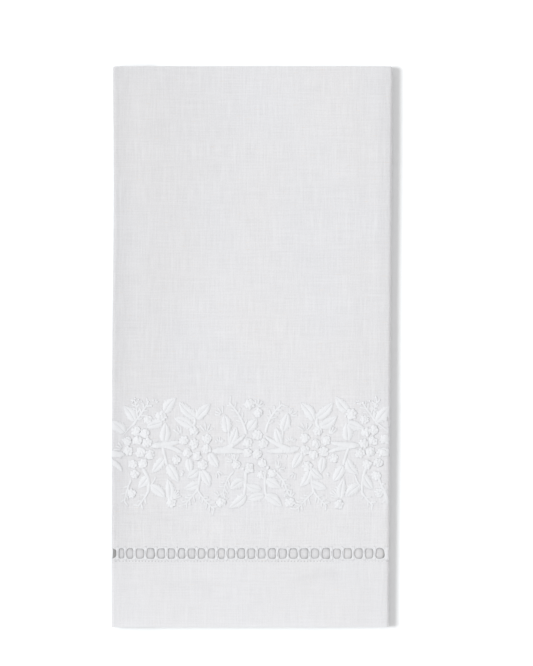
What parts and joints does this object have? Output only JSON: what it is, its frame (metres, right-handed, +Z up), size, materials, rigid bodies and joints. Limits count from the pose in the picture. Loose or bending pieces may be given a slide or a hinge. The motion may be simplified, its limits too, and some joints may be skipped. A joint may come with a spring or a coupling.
{
  "type": "folded hand towel",
  "caption": "Linen hand towel folded in half and in thirds, with a raised whitework band and a drawn-thread row above its hem.",
  "frame": {"origin": "middle of the folded towel's box, on the surface it lies on", "axes": "+X across the folded towel to its right fold, +Y from the front hem to the top fold, +Z up out of the embroidered face"},
  "size_m": [0.1337, 0.2666, 0.0098],
  "materials": {
    "linen": "matt white plain-woven linen with white cotton whitework"
  },
  "bodies": {
    "root": {"towel": "linen"}
  },
  "joints": []
}
